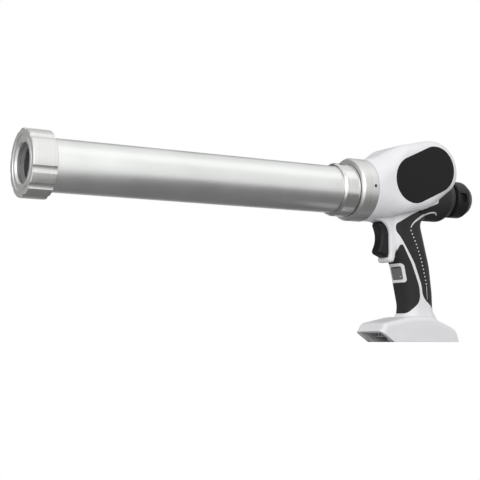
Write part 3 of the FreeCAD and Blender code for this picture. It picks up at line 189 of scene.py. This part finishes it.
# %% Group: turned rings
rings, take, give = new_group("turned_rings", {"Pitch": 2600.0}, ("Height", "Tone"))
spot = place(rings, "SeparateXYZ", {"Vector": own_space(rings)})
along = reckon(rings, "MULTIPLY", spot.outputs["X"], take["Pitch"])
fine = place(rings, "TexNoise", {"W": along, "Scale": 1.0, "Detail": 2.0}, noise_dimensions="1D")
broad = place(rings, "TexNoise", {"W": along, "Scale": 0.12, "Detail": 3.0}, noise_dimensions="1D")
rings.links.new(fine.outputs["Fac"], give["Height"])
rings.links.new(broad.outputs["Fac"], give["Tone"])
print("group", rings.name)

# %% [markdown]
# A drawn tube carries fine lines along its length. A noise that is stretched along X gives such
# lines on any side of the tube without unwrapping it. A second, soft noise that isn't stretched
# serves as a slow change of tone.

# %% Group: drawn lines
LENGTHWISE = (0.012, 1.0, 1.0)
lines, take, give = new_group("drawn_lines", {"Fineness": 900.0}, ("Height", "Tone"))
where = own_space(lines)
drawn = place(lines, "Mapping", {"Vector": where, "Scale": LENGTHWISE}).outputs["Vector"]
fine = place(lines, "TexNoise", {"Vector": drawn, "Scale": take["Fineness"], "Detail": 3.0})
cloud = place(lines, "TexNoise", {"Vector": where, "Scale": 18.0, "Detail": 4.0})
lines.links.new(fine.outputs["Fac"], give["Height"])
lines.links.new(stretch(lines, cloud.outputs["Fac"], 0.3, 0.7), give["Tone"])
print("group", lines.name)

# %% [markdown]
# Each finish is built by the same steps: a plain shader with its fixed values on its own
# sockets, a colour that drifts between two tones, a roughness that drifts too, and a bump from
# one of the heights. The helpers keep the shader in the material itself, since a group should
# hand out only masks and values.

# %% Helpers for finishes
finishes = {}


def begin(slot, metallic=0.0, **fixed):
    material = bpy.data.materials.new(slot)
    material.use_nodes = True
    tree = material.node_tree
    shader = tree.nodes["Principled BSDF"]
    shader.inputs["Metallic"].default_value = metallic
    for socket, value in fixed.items():
        shader.inputs[socket.replace("_", " ")].default_value = value
    finishes[slot] = material
    return tree, shader


def use(tree, group, **values):
    node = place(tree, "Group", node_tree=group)
    for socket, value in values.items():
        node.inputs[socket].default_value = value
    return node.outputs


def join(tree, shader, colour, roughness, normal):
    tree.links.new(colour, shader.inputs["Base Color"])
    tree.links.new(roughness, shader.inputs["Roughness"])
    tree.links.new(normal, shader.inputs["Normal"])


print("finish helpers ready")

# %% [markdown]
# Two more steps belong to finishes only. A blend mixes two colours by a mask, and either colour
# may itself come from a blend. The Mix node has sockets for every kind of data under the same
# names, so the ones for colour are found by their number. A bump turns a height into a normal.

# %% Blends and bumps
def grey(level):
    return (level, level, level)


def blend(tree, factor, first, second):
    mix = place(tree, "Mix", data_type="RGBA")
    tree.links.new(factor, mix.inputs["Factor"])
    for socket, colour in ((mix.inputs[6], first), (mix.inputs[7], second)):
        if isinstance(colour, bpy.types.NodeSocket):
            tree.links.new(colour, socket)
        else:
            socket.default_value = (*colour, 1.0)
    return mix.outputs[2]


def bump(tree, height, strength, depth):
    return place(tree, "Bump", {"Height": height, "Strength": strength, "Distance": depth}).outputs["Normal"]


print("blends ready")

# %% [markdown]
# The housing is moulded in a cool white plastic with a satin grain. Its two halves meet in the
# middle plane, and on a real one that shows as a hair line. The line could be cut into the
# solid, but it is only a quarter of a millimetre wide, so here it is a dark trace where Y is nearly
# zero. Edges polish a little with use, so the wear mask makes them smoother.

# %% White housing
SEAM_HALF = 0.00012
tree, shader = begin("white_housing", Specular_IOR_Level=0.4)
skin = use(tree, grain, Scale=1700.0)
rim = use(tree, wear, Radius=0.0007)["Mask"]
tones = blend(tree, skin["Mottle"], (0.82, 0.81, 0.835), (0.86, 0.85, 0.87))
across = place(tree, "SeparateXYZ", {"Vector": own_space(tree)}).outputs["Y"]
seam = reckon(tree, "COMPARE", across, 0.0, SEAM_HALF)
seamed = blend(tree, seam, tones, (0.42, 0.42, 0.43))
# Painted shade: the corner mask darkens the white towards grey in its corners and joints.
corner_shaded = blend(tree, use(tree, corner_shade, Reach=0.0016)["Mask"], seamed, (0.5, 0.49, 0.49))
satin = spread(tree, skin["Mottle"], 0.36, 0.46)
polished = reckon(tree, "SUBTRACT", satin, spread(tree, rim, 0.0, 0.1))
join(tree, shader, corner_shaded, polished, bump(tree, skin["Height"], 0.12, 0.0002))
print("finish white_housing")

# %% [markdown]
# The soft grips are a black elastomer moulded over the housing. In front of the row of dots the
# surface is finely pebbled, and behind it smooth. Where one ends and the other begins follows
# the curve of the dots, which a square law in Z describes well enough. The pebbles come from a
# cell texture, which only this finish uses, so it stays here and not in a group.

# %% Rubber of the grips
LIMIT_BOW, LIMIT_SLOPE, LIMIT_START = 2.735, -0.2058, -0.2095
tree, shader = begin("elastomer", Specular_IOR_Level=0.22)
skin = use(tree, grain, Scale=1300.0)
where = own_space(tree)
spot = place(tree, "SeparateXYZ", {"Vector": where}).outputs
bow = reckon(tree, "MULTIPLY_ADD", spot["Z"], LIMIT_BOW, LIMIT_SLOPE)
limit = reckon(tree, "MULTIPLY_ADD", bow, spot["Z"], LIMIT_START)
ahead = reckon(tree, "SUBTRACT", spot["X"], limit)
textured = stretch(tree, ahead, -0.0002, 0.0004)
cells = place(tree, "TexVoronoi", {"Vector": where, "Scale": 900.0}).outputs["Distance"]
pebbles = reckon(tree, "MULTIPLY", cells, textured)
height = reckon(tree, "ADD", pebbles, spread(tree, skin["Height"], 0.0, 0.25))
tones = blend(tree, skin["Mottle"], (0.023, 0.023, 0.023), (0.032, 0.032, 0.031))
scuffed = blend(tree, use(tree, wear, Radius=0.0006)["Mask"], tones, (0.055, 0.055, 0.054))
join(tree, shader, scuffed, spread(tree, textured, 0.52, 0.64), bump(tree, height, 0.5, 0.0003))
print("finish elastomer")

# %% [markdown]
# The oval panel on each side, the trigger, the knob and the switch are hard black plastics. They
# differ in gloss: the panel is the flattest and darkest, the handled pieces shine a little more.
# One function builds such a plastic from two tones and a range of roughness, and it serves the
# grey button, the slot's liner, the pale marks, the board and the piston's seal as well.

# %% Hard plastics
def plastic(slot, dark, light, smooth, rough, gloss=0.3, scale=1500.0, relief=0.15, worn=None):
    tree, shader = begin(slot, Specular_IOR_Level=gloss)
    skin = use(tree, grain, Scale=scale)
    colour = blend(tree, skin["Mottle"], dark, light)
    if worn:
        colour = blend(tree, use(tree, wear, Radius=0.0005)["Mask"], colour, worn)
    roughness = spread(tree, skin["Mottle"], smooth, rough)
    join(tree, shader, colour, roughness, bump(tree, skin["Height"], relief, 0.0002))


plastic("black_panel", grey(0.009), grey(0.012), 0.42, 0.52, gloss=0.14, worn=grey(0.025))
plastic("black_plastic", grey(0.012), grey(0.017), 0.34, 0.46, gloss=0.2, worn=grey(0.035))
plastic("grey_plastic", (0.15, 0.15, 0.155), (0.18, 0.18, 0.185), 0.4, 0.52, worn=grey(0.2))
plastic("liner_grey", (0.7, 0.7, 0.71), (0.8, 0.8, 0.81), 0.42, 0.55, scale=500.0, relief=0.4)
plastic("pale_plastic", (0.7, 0.7, 0.71), (0.78, 0.78, 0.79), 0.42, 0.55)
plastic("board_green", (0.03, 0.14, 0.07), (0.05, 0.2, 0.1), 0.25, 0.4, scale=700.0)
plastic("seal_rubber", grey(0.02), grey(0.03), 0.5, 0.65, scale=900.0)
print("finishes so far", sorted(finishes))

# %% [markdown]
# The barrel is a drawn aluminium tube, etched and anodised to a satin silver. Anodising leaves a
# soft, slightly darker metal than bare aluminium. The fine lines of drawing run along it, and the
# roughness drifts in slow clouds where hands have held it.

# %% Satin anodised barrel
tree, shader = begin("barrel_aluminium", metallic=1.0)
draw = use(tree, lines, Fineness=1100.0)
colour = blend(tree, draw["Tone"], (0.67, 0.68, 0.67), (0.73, 0.74, 0.73))
bright = blend(tree, use(tree, wear, Radius=0.0005)["Mask"], colour, (0.86, 0.86, 0.85))
join(tree, shader, bright, spread(tree, draw["Tone"], 0.34, 0.42), bump(tree, draw["Height"], 0.12, 0.0001))
print("finish barrel_aluminium")

# %% [markdown]
# The other metals share one recipe with the lathe's rings. They differ in colour, in how strongly
# the rings show, and in how polished they are. Shade is painted into their corners: the corner
# mask brings those down to half of the darker tone.

# %% Turned metals
def turned(slot, dark, light, smooth, rough, pitch=2600.0, relief=0.15, worn=None):
    tree, shader = begin(slot, metallic=1.0)
    cut = use(tree, rings, Pitch=pitch)
    colour = blend(tree, cut["Tone"], dark, light)
    if worn:
        colour = blend(tree, use(tree, wear, Radius=0.0005)["Mask"], colour, worn)
    # Painted shade: the corner mask darkens the colour to half of the darker tone.
    corners = use(tree, corner_shade, Reach=0.0022)["Mask"]
    shaded_in_corners = blend(tree, corners, colour, tuple(0.5 * tone for tone in dark))
    roughness = spread(tree, cut["Tone"], smooth, rough)
    join(tree, shader, shaded_in_corners, roughness, bump(tree, cut["Height"], relief, 0.0001))


turned("turned_aluminium", (0.56, 0.56, 0.55), (0.69, 0.69, 0.68), 0.38, 0.5, worn=(0.82, 0.82, 0.81))
turned("polished_aluminium", (0.6, 0.6, 0.59), (0.74, 0.74, 0.73), 0.2, 0.3, relief=0.06)
turned("steel", (0.4, 0.4, 0.41), (0.52, 0.52, 0.53), 0.22, 0.36, worn=grey(0.65))
turned("dark_steel", (0.1, 0.1, 0.105), (0.16, 0.16, 0.165), 0.3, 0.45, worn=grey(0.4))
turned("bronze", (0.5, 0.33, 0.17), (0.6, 0.42, 0.24), 0.3, 0.45)
print("finishes so far", len(finishes))

# %% [markdown]
# The record of the part names a material slot for every node. Walking through that list dresses
# all of them, so none can be forgotten.

# %% Dress the nodes
for part in record["subparts"]:
    mesh = nodes[part["node"]].data
    mesh.materials.clear()
    mesh.materials.append(finishes[part["material_slot"]])
print("dressed", len(record["subparts"]), "nodes in", len(finishes), "finishes")

# %% [markdown]
# Small light marks decorate the rear grip: a crescent under the tail, a row of dots down the
# handle and a thin line below them. A smooth curve through a few points of the middle plane places
# each. The curve could be a Blender curve object, but its points wouldn't be evenly spaced, so it
# is worked out here: first finely, then walked along in equal steps.

# %% Smooth paths
FINE_STEPS = 40


def curve_point(before, start, end, after, share):
    """A place between start and end, on the smooth curve through all four points."""
    heading = (end - before) * share
    bend = (2 * before - 5 * start + 4 * end - after) * share * share
    twist = (3 * start - before - 3 * end + after) * share * share * share
    return 0.5 * (2 * start + heading + bend + twist)


def smooth_path(points, count):
    """Evenly spaced places on a smooth curve through the points."""
    ends = [2 * points[0] - points[1]] + points + [2 * points[-1] - points[-2]]
    fine = []
    for corners in zip(ends, ends[1:], ends[2:], ends[3:]):
        fine += [curve_point(*corners, step / FINE_STEPS) for step in range(FINE_STEPS)]
    fine.append(points[-1])
    length = [0.0]
    for here, following in zip(fine, fine[1:]):
        length.append(length[-1] + (following - here).length)
    places = []
    reached = 0
    for index in range(count):
        goal = length[-1] * index / (count - 1)
        while reached < len(fine) - 2 and length[reached + 1] < goal:
            reached += 1
        share = (goal - length[reached]) / (length[reached + 1] - length[reached])
        places.append(fine[reached].lerp(fine[reached + 1], share))
    return places


def in_middle_plane(*corners):
    return [from_nose(x, 0, z) for x, z in corners]


dot_path = in_middle_plane((-83, -44.5), (-91.7, -63), (-98.3, -80.7), (-103.2, -99.6), (-105.1, -108))
line_path = in_middle_plane((-105.3, -110.5), (-105.9, -118.8), (-106.4, -127))
arc_path = in_middle_plane(
    (-82.5, -41),
    (-87, -35.1),
    (-96.2, -28.7),
    (-105.9, -23.9),
    (-112.5, -21.5),
    (-119, -21.3),
    (-122.8, -23.6),
)
print("paths of", len(dot_path), len(line_path), "and", len(arc_path), "points")

# %% [markdown]
# The paths are flat, and the rubber is curved. A ray from well outside the grip, straight towards
# the middle plane, finds the point of the surface beside each place. The same path serves both
# sides. On the right a screw's hole cuts into the rubber on the way of the crescent. There a ray
# finds nothing, so the marks are kept in runs that stop before the hole and go on behind it.

# %% Laying marks on the rubber
OUTSIDE = 0.08
SIDES = ((1, "left"), (-1, "right"))


def surface_of(node):
    mesh = nodes[node].data
    corners = [vertex.co for vertex in mesh.vertices]
    return BVHTree.FromPolygons(corners, [polygon.vertices for polygon in mesh.polygons])


def lay_on(surface, places, side):
    """Runs of surface points beside the places, each with its share of the way and its normal."""
    inward = Vector((0, -side, 0))
    hits = [surface.ray_cast(Vector((spot.x, side * OUTSIDE, spot.z)), inward) for spot in places]
    runs = [[]]
    for index, (point, normal, _, _) in enumerate(hits):
        around = hits[max(index - 1, 0):index + 2]
        if any(hit[0] is None for hit in around):
            runs.append([])
            continue
        outward = normal if normal.y * side > 0 else -normal
        runs[-1].append((index / (len(places) - 1), point, outward))
    return [run for run in runs if len(run) > 1]


grips = {side: surface_of("rear_grip_" + word) for side, word in SIDES}
print("grips ready for", len(grips), "sides")

# %% [markdown]
# Dots, ribbons and springs are all built in the same way: rows of points, each row a closed ring,
# that are joined in turn and closed at both ends, so that every piece is a closed shell. A second
# helper makes the finished object, names the body that it rides on and the slot of its finish.

# %% Shells from rows
def skin_rows(shape, rows):
    count = len(rows[0])
    for low, high in zip(rows, rows[1:]):
        for index in range(count):
            after = (index + 1) % count
            shape.faces.new((low[index], low[after], high[after], high[index]))
    shape.faces.new(rows[0])
    shape.faces.new(list(reversed(rows[-1])))


def finish_piece(shape, name, slot, body):
    bmesh.ops.recalc_face_normals(shape, faces=shape.faces)
    mesh = bpy.data.meshes.new(name)
    shape.to_mesh(mesh)
    shape.free()
    for polygon in mesh.polygons:
        polygon.use_smooth = True
    mesh.materials.append(finishes[slot])
    piece = bpy.data.objects.new(name, mesh)
    scene.collection.objects.link(piece)
    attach(piece, body)
    print(name, "with", len(mesh.vertices), "points on", body)
    return piece


print("shell helpers ready")

# %% [markdown]
# A dot is a low dome. It could be a squashed sphere, but then half of it would lie inside the
# rubber, so rings of points are built from the rim up instead, with a short skirt into the rubber.

# %% Dots
SKIRT = 0.0003
DOME_SIDES = 14
DOTS = 16
DOT_RADIUS, DOT_HEIGHT = 0.00095, 0.0004


def add_dome(shape, point, normal, radius, height):
    side = normal.cross(Vector((0, 0, 1))).normalized()
    up = side.cross(normal)
    rows = []
    for share, lift in ((1.0, -SKIRT), (1.0, 0.15 * height), (0.75, 0.75 * height), (0.35, height)):
        row = []
        for step in range(DOME_SIDES):
            turn = 2 * math.pi * step / DOME_SIDES
            reach = (side * math.cos(turn) + up * math.sin(turn)) * radius * share
            row.append(shape.verts.new(point + reach + normal * lift))
        rows.append(row)
    skin_rows(shape, rows)


for side, word in SIDES:
    shape = bmesh.new()
    for run in lay_on(grips[side], smooth_path(dot_path, DOTS), side):
        for _, point, normal in run:
            add_dome(shape, point, normal, DOT_RADIUS, DOT_HEIGHT)
    finish_piece(shape, "grip_dots_" + word, "pale_plastic", "tool_body")

# %% [markdown]
# The crescent and the line are raised ribbons. At each place on the path the ribbon has a rounded
# section of five points. The crescent swells towards its middle along a part of a sine wave, and
# the line tapers downwards, so each has a small function that gives its width at any share of the
# way.

# %% Crescent and line
CRESCENT_HEIGHT, LINE_HEIGHT = 0.0005, 0.0003
CRESCENT_SECTIONS, LINE_SECTIONS = 40, 14
CRESCENT_THIN, CRESCENT_SWELL = 0.0009, 0.0021
WAVE_START, WAVE_PART = 0.02, 0.9
LINE_TOP, LINE_TAPER = 0.0007, 0.0004


def add_ribbon(shape, run, width, height):
    section = ((-1, -SKIRT), (-0.9, 0.6 * height), (0, height), (0.9, 0.6 * height), (1, -SKIRT))
    rows = []
    for index, (share, point, normal) in enumerate(run):
        ahead = run[min(index + 1, len(run) - 1)][1] - run[max(index - 1, 0)][1]
        side = ahead.cross(normal).normalized()
        half = width(share) / 2
        rows.append([shape.verts.new(point + side * half * out + normal * lift) for out, lift in section])
    skin_rows(shape, rows)


def crescent_width(share):
    return CRESCENT_THIN + CRESCENT_SWELL * math.sin(math.pi * (share * WAVE_PART + WAVE_START))


def line_width(share):
    return LINE_TOP - LINE_TAPER * share


for side, word in SIDES:
    shape = bmesh.new()
    for run in lay_on(grips[side], smooth_path(arc_path, CRESCENT_SECTIONS), side):
        add_ribbon(shape, run, crescent_width, CRESCENT_HEIGHT)
    for run in lay_on(grips[side], smooth_path(line_path, LINE_SECTIONS), side):
        add_ribbon(shape, run, line_width, LINE_HEIGHT)
    finish_piece(shape, "grip_crescent_" + word, "pale_plastic", "tool_body")

# %% [markdown]
# The release button carries one small light point low on its face. It is laid on by a ray from
# the front, and it rides on the button, so it goes in with it.

# %% Point on the button
POINT_RADIUS, POINT_HEIGHT = 0.0008, 0.0003
before_button = from_nose(-60, 5.4, -99.4)
point, normal, _, _ = surface_of("release_button").ray_cast(before_button, Vector((-1, 0, 0)))
shape = bmesh.new()
add_dome(shape, point, normal if normal.x > 0 else -normal, POINT_RADIUS, POINT_HEIGHT)
finish_piece(shape, "button_point", "pale_plastic", "button_body")

# %% [markdown]
# Behind the trigger and behind the button sits a small coil spring. The solids show both at rest
# only, so each is rebuilt here as a mesh: a ring of points is carried along a helix, whose size
# comes from the solid's own box.

# %% Coil springs
WIRE = 0.00045
WIRE_SIDES = 10
STEPS_A_TURN = 24


def wire_ring(shape, centre, outward):
    ring = []
    for step in range(WIRE_SIDES):
        turn = 2 * math.pi * step / WIRE_SIDES
        reach = outward * math.cos(turn) + Vector((math.sin(turn), 0, 0))
        ring.append(shape.verts.new(centre + reach * WIRE))
    return ring


def add_coil(name, node, turns):
    low, high = (Vector(corner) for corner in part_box(node))
    middle = (low + high) / 2
    length = high.x - low.x
    radius = (high.z - low.z) / 2 - WIRE
    steps = turns * STEPS_A_TURN
    shape = bmesh.new()
    rows = []
    for step in range(steps + 1):
        turn = 2 * math.pi * step / STEPS_A_TURN
        outward = Vector((0, math.cos(turn), math.sin(turn)))
        along = low.x + WIRE + (length - 2 * WIRE) * step / steps
        rows.append(wire_ring(shape, Vector((along, middle.y, middle.z)) + outward * radius, outward))
    skin_rows(shape, rows)
    coil = finish_piece(shape, name, "steel", "tool_body")
    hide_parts(node)
    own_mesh(coil)


add_coil("trigger_coil", "trigger_spring", 5)
add_coil("release_coil", "release_spring", 4)

# %% [markdown]
# The studio is a pale floor under an even white surround. Seen by the camera, or in a metal's
# reflection, the surround is plain white. Other light from it is weaker, so that a lamp can give
# the tool its shape. The Light Path node tells the two kinds of ray apart.

# %% World
def seen_directly(tree):
    path = place(tree, "LightPath").outputs
    seen = reckon(tree, "MAXIMUM", path["Is Camera Ray"], path["Is Glossy Ray"])
    return reckon(tree, "MAXIMUM", seen, path["Is Transmission Ray"])


world = bpy.data.worlds.new("surround")
scene.world = world
world.use_nodes = True
tree = world.node_tree
sky = tree.nodes["Background"].inputs
tree.links.new(spread(tree, seen_directly(tree), 0.67, 1.0), sky["Strength"])
sky["Color"].default_value = (1, 1, 1, 1)
print("world ready")

# %% [markdown]
# Floor and cards are matt card. Two helpers make the card's finish and the piece itself.

# %% Helpers for the studio
def matt_card(name, dark, light):
    tree, shader = begin(name, Specular_IOR_Level=0.0)
    skin = use(tree, grain, Scale=300.0)
    colour = blend(tree, skin["Mottle"], grey(dark), grey(light))
    roughness = spread(tree, skin["Mottle"], 0.8, 0.9)
    join(tree, shader, colour, roughness, bump(tree, skin["Height"], 0.02, 0.0001))
    return tree, shader


def studio_piece(shape, name, finish):
    mesh = bpy.data.meshes.new(name)
    shape.to_mesh(mesh)
    shape.free()
    mesh.materials.append(finishes[finish])
    piece = bpy.data.objects.new(name, mesh)
    scene.collection.objects.link(piece)
    print(name, "in", finish)
    return piece


print("studio helpers ready")

# %% [markdown]
# The floor is a wide disc of pale card that keeps the tool's soft shadow. For the camera and for
# reflections a glow brings it up to the white of the surround, so that no horizon shows. The lamp
# reaches less of the floor far away, so the glow grows with the distance from the tool.

# %% Floor
FLOOR_RADIUS = 6.0
FLOOR_SIDES = 96
tree, shader = matt_card("pale_card", 0.44, 0.48)
away = place(tree, "VectorMath", {0: own_space(tree)}, operation="LENGTH").outputs["Value"]
lift = spread(tree, stretch(tree, away, 0.5, 1.8), 0.6, 0.72)
shader.inputs["Emission Color"].default_value = (1, 1, 1, 1)
tree.links.new(reckon(tree, "MULTIPLY", seen_directly(tree), lift), shader.inputs["Emission Strength"])
shape = bmesh.new()
bmesh.ops.create_circle(shape, cap_ends=True, radius=FLOOR_RADIUS, segments=FLOOR_SIDES)
studio_piece(shape, "floor", "pale_card")

# %% [markdown]
# Polished metal shows whatever stands around it. In an all-white studio a round barrel would look
# flat, so photographers set dark cards around it. One lies on the table, and its reflection gives
# the barrel, the nose and the cap their dark lower side. Its front end is slanted, so the near side
# of the cap looks past it and stays bright. One stands behind, and draws the thin dark line along
# the top edge. Both show in reflections only: they cast no shadow, throw no light on matt surfaces,
# and the camera looks through them.

# %% Dark cards for reflections
CARD_LIFT = 0.0005
CARD_BEHIND = -0.8


def add_card(name, corners, dark, light):
    matt_card(name, dark, light)
    shape = bmesh.new()
    shape.faces.new([shape.verts.new(corner) for corner in corners])
    card = studio_piece(shape, name, name)
    for ray in ("camera", "diffuse", "shadow", "transmission"):
        setattr(card, "visible_" + ray, False)


table_corners = ((-1.1, -0.35), (0.75, -0.35), (-0.15, 0.55), (-1.1, 0.55))
back_corners = ((-2.0, 0.02), (0.7, 0.02), (0.7, 1.1), (-2.0, 1.1))
add_card("card_on_table", [(x, y, CARD_LIFT) for x, y in table_corners], 0.25, 0.29)
add_card("card_behind", [(x, CARD_BEHIND, z) for x, z in back_corners], 0.11, 0.14)

# %% [markdown]
# Two large soft lamps stand in the studio. The one beside the camera lights the near side of the
# tool. The one overhead lights no matt surface: it only shows in reflections, where it makes the
# bright band along the top of the barrel. Power is given as the brightness of the lamp's face times
# its area and pi, which keeps the look when a size changes.

# %% Lamps
def soft_lamp(name, location, target, size, brightness, lights=True):
    data = bpy.data.lights.new(name, "AREA")
    data.shape = "RECTANGLE"
    data.size, data.size_y = size
    data.energy = brightness * size[0] * size[1] * math.pi
    lamp = bpy.data.objects.new(name, data)
    lamp.location = location
    lamp.visible_diffuse = lights
    lamp.rotation_euler = (Vector(target) - Vector(location)).to_track_quat("-Z", "Y").to_euler()
    scene.collection.objects.link(lamp)
    print(name, round(data.energy, 2), "W")


soft_lamp("overhead", (-0.7, 0.62, 1.5), (-0.7, 0.1, 0.15), (2.8, 1.0), 0.42, lights=False)
soft_lamp("beside_camera", (1.0, 1.5, 0.62), (-0.1, 0.0, 0.12), (2.6, 1.8), 1.75)

# %% [markdown]
# The camera stands low, almost at the height of the sole, ahead of the tool and on its left side,
# and looks slightly up. A focal length of 1075.9 points, in a picture 480 points wide, fits the
# straight edges of the barrel and the round rims. The lens follows from it and from the sensor.

# %% Camera
FOCAL_POINTS = 1075.9
PICTURE_POINTS = 480
eye = bpy.data.cameras.new("eye")
eye.sensor_width = 36.0
eye.lens = eye.sensor_width * FOCAL_POINTS / PICTURE_POINTS
eye.clip_start = 0.05
camera = bpy.data.objects.new("eye", eye)
camera.location = (0.6385, 1.0205, 0.0013)
camera.rotation_euler = Vector((-0.5044, -0.8584, 0.0934)).to_track_quat("-Z", "Y").to_euler()
scene.collection.objects.link(camera)
scene.camera = camera
scene.view_settings.view_transform = "Standard"
print("lens", round(eye.lens, 2), "mm")
